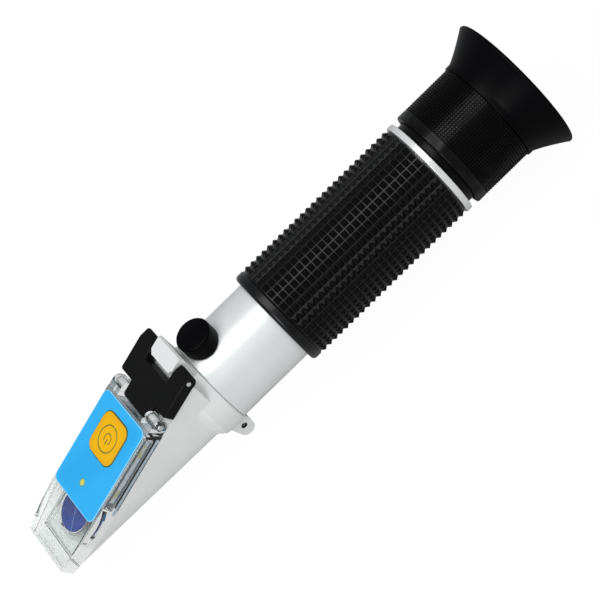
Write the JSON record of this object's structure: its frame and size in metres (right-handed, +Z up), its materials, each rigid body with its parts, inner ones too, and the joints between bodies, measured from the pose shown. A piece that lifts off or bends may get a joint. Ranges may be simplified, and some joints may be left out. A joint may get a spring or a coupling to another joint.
{
  "type": "brix refractometer",
  "caption": "Handheld sugar refractometer: sloping prism under a lit, double-hinged clear plate, rubber grip, knurled focus ring and flared eyecup.",
  "frame": {"origin": "centre of the box's bottom face, under the strap lug's tip", "axes": "+X runs along the optical axis towards the eyecup, +Z is up, and the prism face looks up and forward"},
  "size_m": [0.1664, 0.0396, 0.0418],
  "materials": {
    "cast_silver": "satin cast and painted silver",
    "tube_silver": "satin silver coat",
    "collar_silver": "bright turned",
    "steel": "bright",
    "brass": "plain",
    "grip_rubber": "moulded small pyramids",
    "black_rubber": "soft satin",
    "black_plastic": "satin moulded",
    "black_paint": "satin black",
    "optical_glass": "polished",
    "clear_plastic": "clear and polished",
    "blue_film": "printed film, fine grain",
    "blue_glass": "dyed glass",
    "orange_key": "satin",
    "amber_lens": "glossy",
    "green_board": "dark lacquered board",
    "white_lamp": "diffuse"
  },
  "bodies": {
    "body": {"prism_housing": "cast_silver", "measuring_prism": "optical_glass", "prism_gasket": "black_rubber", "main_tube": "tube_silver", "rubber_grip": "grip_rubber", "collar_ring": "collar_silver", "neck_sleeve": "black_plastic", "objective_cell": "black_paint", "objective_lens": "optical_glass", "reticle_holder": "black_paint", "reticle_disc": "optical_glass", "bimetal_strip": "brass", "strip_clamp": "brass", "calibration_bush": "brass", "hinge_pin_upper": "steel"},
    "calibration_screw": {"calibration_screw": "steel"},
    "calibration_cap": {"calibration_cap": "black_rubber"},
    "hinge_link": {"hinge_link": "black_paint", "hinge_pin_lower": "steel"},
    "lid": {"lid_body": "clear_plastic", "light_label": "blue_film", "indicator_lens": "amber_lens", "circuit_board": "green_board", "white_led_1": "white_lamp", "white_led_2": "white_lamp", "white_led_3": "white_lamp", "dome_switch": "steel", "battery_tray": "black_plastic", "button_cell_1": "steel", "button_cell_2": "steel", "blue_filter": "blue_glass"},
    "power_button": {"power_button": "orange_key"},
    "lens_carriage": {"lens_carriage": "black_plastic", "field_lens": "optical_glass", "eye_lens": "optical_glass", "eye_lens_ring": "black_plastic"},
    "focus": {"focus_ring": "black_plastic", "eyecup": "black_rubber"}
  },
  "joints": [
    {"name": "link_fold", "type": "hinge", "parent": "body", "child": "hinge_link", "pos_m": [-0.02711, 0, 0.0386], "axis": [0, 1, 0], "range_deg": [0, 95]},
    {"name": "lid_fold", "type": "hinge", "parent": "hinge_link", "child": "lid", "pos_m": [-0.03975, 0, 0.03387], "axis": [0, 1, 0], "range_deg": [0, 90]},
    {"name": "key_press", "type": "slide", "parent": "lid", "child": "power_button", "axis": [-0.3503, 0, 0.9366], "range_m": [-0.0003, 0], "stiffness_N_per_m": 400, "springref_m": 0.0003},
    {"name": "calibration_turn", "type": "hinge", "parent": "body", "child": "calibration_screw", "pos_m": [-0.01841, 0, 0.036], "axis": [0, 0, 1], "range_deg": [-180, 180]},
    {"name": "cap_lift", "type": "slide", "parent": "body", "child": "calibration_cap", "axis": [0, 0, 1], "range_m": [0, 0.01]},
    {"name": "focus_travel", "type": "slide", "parent": "body", "child": "lens_carriage", "axis": [1, 0, 0], "range_m": [-0.0016, 0.0021]},
    {"name": "focus_turn", "type": "hinge", "parent": "lens_carriage", "child": "focus", "pos_m": [0.07079, 0, 0.022], "axis": [1, 0, 0], "range_deg": [-105, 135]}
  ],
  "couplings": [
    {"joint": "focus_travel", "follows": "focus_turn", "m_per_rad": 0.00085}
  ]
}
